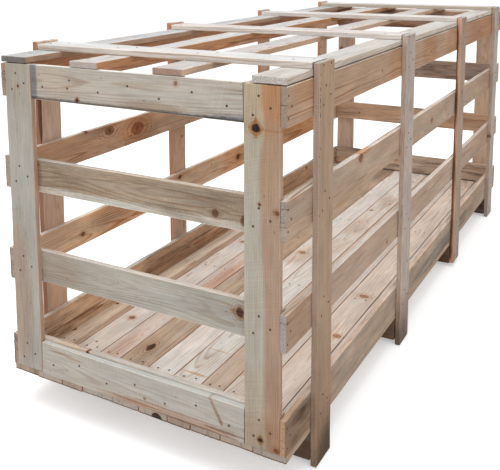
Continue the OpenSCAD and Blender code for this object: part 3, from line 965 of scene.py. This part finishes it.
        tone=srgb(204, 182, 162), weather=0.3, streaks=0.8,
        stains=[((-0.44, REAR, 0.17), (0.12, 1, 0.2), DIRT, 0.5)]),
    "lid_slat_1": dict(
        tone=srgb(168, 170, 172), weather=0.3, streaks=0.25, end=srgb(116, 110, 106),
        edge=srgb(176, 144, 120), stains=[((0, FRONT, 1.09), (ALL, 0.003, ALL), DIRT, 0.7, CRISP)]),
    "lid_slat_2": dict(
        tone=srgb(174, 172, 170), weather=0.1, end=srgb(182, 165, 157), edge=srgb(186, 138, 98),
        wane=(LEFT_SIDE, TOP_FACE, 9 * MM, -1.4, -0.7)),
    "lid_slat_3": dict(
        tone=srgb(170, 166, 164), weather=0.1, end=srgb(165, 117, 93), edge=srgb(206, 176, 152)),
    "lid_slat_4": dict(
        tone=srgb(174, 170, 166), weather=0.1, end=srgb(196, 188, 180), edge=srgb(192, 182, 172)),
    "lid_batten_2": dict(tone=srgb(182, 176, 174)),
    "lid_batten_3": dict(edge=srgb(202, 196, 192)),
    "lid_batten_4": dict(edge=srgb(174, 164, 150)),
}


def kind_of(node):
    """The kind of board a node is, or None for the nails."""
    found = [kind for kind in KINDS if node.startswith(kind)]
    return found[0] if found else None


def wood_of(node):
    """A board's wood: its kind's usual settings, with its own in their place."""
    kind = kind_of(node)
    if kind is None:
        return None
    usual, own = KINDS[kind][1], BOARDS.get(node, {})
    stains = [*usual.get("stains", ()), *own.get("stains", ())]
    return SimpleNamespace(**{**USUAL_WOOD, **usual, **own, "stains": stains})


def build_boards():
    for node in sorted(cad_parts):
        wood = wood_of(node)
        if wood is None:
            continue
        board = Board(node)
        piece = add_object(node + "_wood", board_mesh(board, wood.wear, wood.ragged, wood.wane))
        piece.data.materials.append(wood_material(board, wood))
        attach(piece, "lid" if node.startswith("lid") else "crate_body")
        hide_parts(node)


# ---------------------------------------------------------------- nails

def nail_material():
    """Bare wire nails gone dull, with rust freckles on their heads."""
    material, tree = blank_material("oxidised_nails")
    place = put(tree, "ShaderNodeTexCoord", output=3)
    mottle = noise(tree, place, (420, 420, 420), 4.0, 0.6)
    each = noise(tree, place, (9, 9, 9), 1.0)
    rust = step_up(tree, plus(tree, mottle, times(tree, each, 0.5)), 0.62, 0.90)
    color = tint(tree, rust, (0.075, 0.070, 0.066, 1), (0.115, 0.048, 0.022, 1))
    roughness = step_up(tree, rust, 0.0, 1.0, 0.42, 0.85)
    metal = step_up(tree, rust, 0.0, 0.7, 0.85, 0.15)
    bump = put(tree, "ShaderNodeBump", {"Strength": 0.6, "Distance": 0.1 * MM, "Height": mottle})
    shader = put(tree, "ShaderNodeBsdfPrincipled", {
        "Base Color": color, "Roughness": roughness, "Metallic": metal, "Normal": bump})
    put(tree, "ShaderNodeOutputMaterial", {"Surface": shader})
    return material


def finish_nails():
    material = nail_material()
    for node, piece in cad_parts.items():
        if node.endswith("_nails"):
            for place in piece.material_slots:
                place.material = material


# ---------------------------------------------------------------- studio

LIT_SPOT = Vector((0, 0, 0.5))
FLOOR_REACH = 60.0
FLOOR_DROP = 0.5 * MM
FLOOR_GLOW = 0.40
SKY_LIGHT = 0.68
SKY_SEEN = 0.97

CAMERA_SPOT = (1.2246, -2.9942, 1.3829)
CAMERA_YAW = 30.631
CAMERA_PITCH = 7.935
CAMERA_ROLL = -0.550
CAMERA_LENS = 54.96
CAMERA_SHIFTS = {"shift_x": 0.0773, "shift_y": -0.3423}
# How far from its spot the camera has lost its shift
SHIFT_FADE = 0.5


def add_floor():
    """A pale plain floor that reaches the horizon, lit a little from within so that it stays pale."""
    mesh = bpy.data.meshes.new("studio_floor")
    corners = [(x * FLOOR_REACH, y * FLOOR_REACH, -FLOOR_DROP)
               for x, y in ((-1, -1), (1, -1), (1, 1), (-1, 1))]
    mesh.from_pydata(corners, [], [(0, 1, 2, 3)])
    floor = add_object("studio_floor", mesh)
    material = bpy.data.materials.new("studio_floor")
    material.use_nodes = True
    tree = material.node_tree
    seen = put(tree, "ShaderNodeLightPath")
    shader = tree.nodes["Principled BSDF"]
    shader.inputs["Base Color"].default_value = (0.80, 0.80, 0.80, 1)
    shader.inputs["Roughness"].default_value = 0.9
    shader.inputs["Emission Color"].default_value = (1, 1, 1, 1)
    tree.links.new(times(tree, seen, FLOOR_GLOW), shader.inputs["Emission Strength"])
    from_below = put(tree, "ShaderNodeNewGeometry", output="Backfacing")
    clear = put(tree, "ShaderNodeBsdfTransparent")
    surface = put(tree, "ShaderNodeMixShader", {0: from_below, 1: shader.outputs[0], 2: clear})
    tree.links.new(surface, tree.nodes["Material Output"].inputs["Surface"])
    mesh.materials.append(material)


def add_light(name, kind, place, strength, color, **settings):
    """A light at place, aimed at the middle of the crate. Its strength is in watts, or for a sun in
    watts per square metre."""
    light = bpy.data.lights.new(name, kind)
    light.energy = strength
    light.color = color
    for setting, value in settings.items():
        setattr(light, setting, value)
    lamp = add_object(name, light)
    lamp.location = place
    lamp.rotation_euler = (LIT_SPOT - lamp.location).to_track_quat("-Z", "Y").to_euler()


def add_lights():
    """An even white sky, a broad soft light overhead and a very soft fill from the front right."""
    world = bpy.data.worlds.new("studio_sky")
    world.use_nodes = True
    sky = world.node_tree.nodes["Background"]
    sky.inputs["Color"].default_value = (1, 1, 1, 1)
    seen = put(world.node_tree, "ShaderNodeLightPath")
    strength = put(world.node_tree, "ShaderNodeMapRange", {0: seen, 3: SKY_LIGHT, 4: SKY_SEEN})
    world.node_tree.links.new(strength, sky.inputs["Strength"])
    bpy.context.scene.world = world
    add_light("overhead", "AREA", (-0.6, -0.6, 5.2), 310, (0.93, 0.97, 1.0), size=5.0)
    add_light("front_fill", "SUN", (4.0, -6.0, 3.6), 0.75, (1.0, 0.98, 0.95), angle=math.radians(70))


def add_camera():
    """The camera stands off the front right corner, a little above the crate. The picture is the
    lower right part of a wider view, which the lens shift gives. The shift holds only at this
    spot: a view from anywhere else looks straight at the crate."""
    yaw, pitch, roll = (math.radians(angle) for angle in (CAMERA_YAW, CAMERA_PITCH, CAMERA_ROLL))
    forward = Vector((-math.sin(yaw) * math.cos(pitch), math.cos(yaw) * math.cos(pitch), -math.sin(pitch)))
    level = Vector((math.cos(yaw), math.sin(yaw), 0))
    right = Matrix.Rotation(roll, 3, -forward) @ level
    up = right.cross(forward)
    camera = add_object("camera", bpy.data.cameras.new("camera"))
    turn = Matrix((right, up, -forward)).transposed()
    camera.matrix_world = Matrix.Translation(CAMERA_SPOT) @ turn.to_4x4()
    camera.data.lens = CAMERA_LENS
    spot = add_object("camera_spot")
    spot.location = camera.location
    for direction, shift in CAMERA_SHIFTS.items():
        curve = camera.data.driver_add(direction)
        curve.driver.type = "AVERAGE"
        apart = curve.driver.variables.new()
        apart.type = "LOC_DIFF"
        apart.targets[0].id = camera
        apart.targets[1].id = spot
        while curve.modifiers:
            curve.modifiers.remove(curve.modifiers[0])
        for distance, value in ((0.0, shift), (SHIFT_FADE, 0.0)):
            curve.keyframe_points.insert(distance, value).interpolation = "LINEAR"
    bpy.context.scene.camera = camera


build_boards()
finish_nails()
add_floor()
add_lights()
add_camera()
bpy.context.scene.view_settings.view_transform = "Standard"
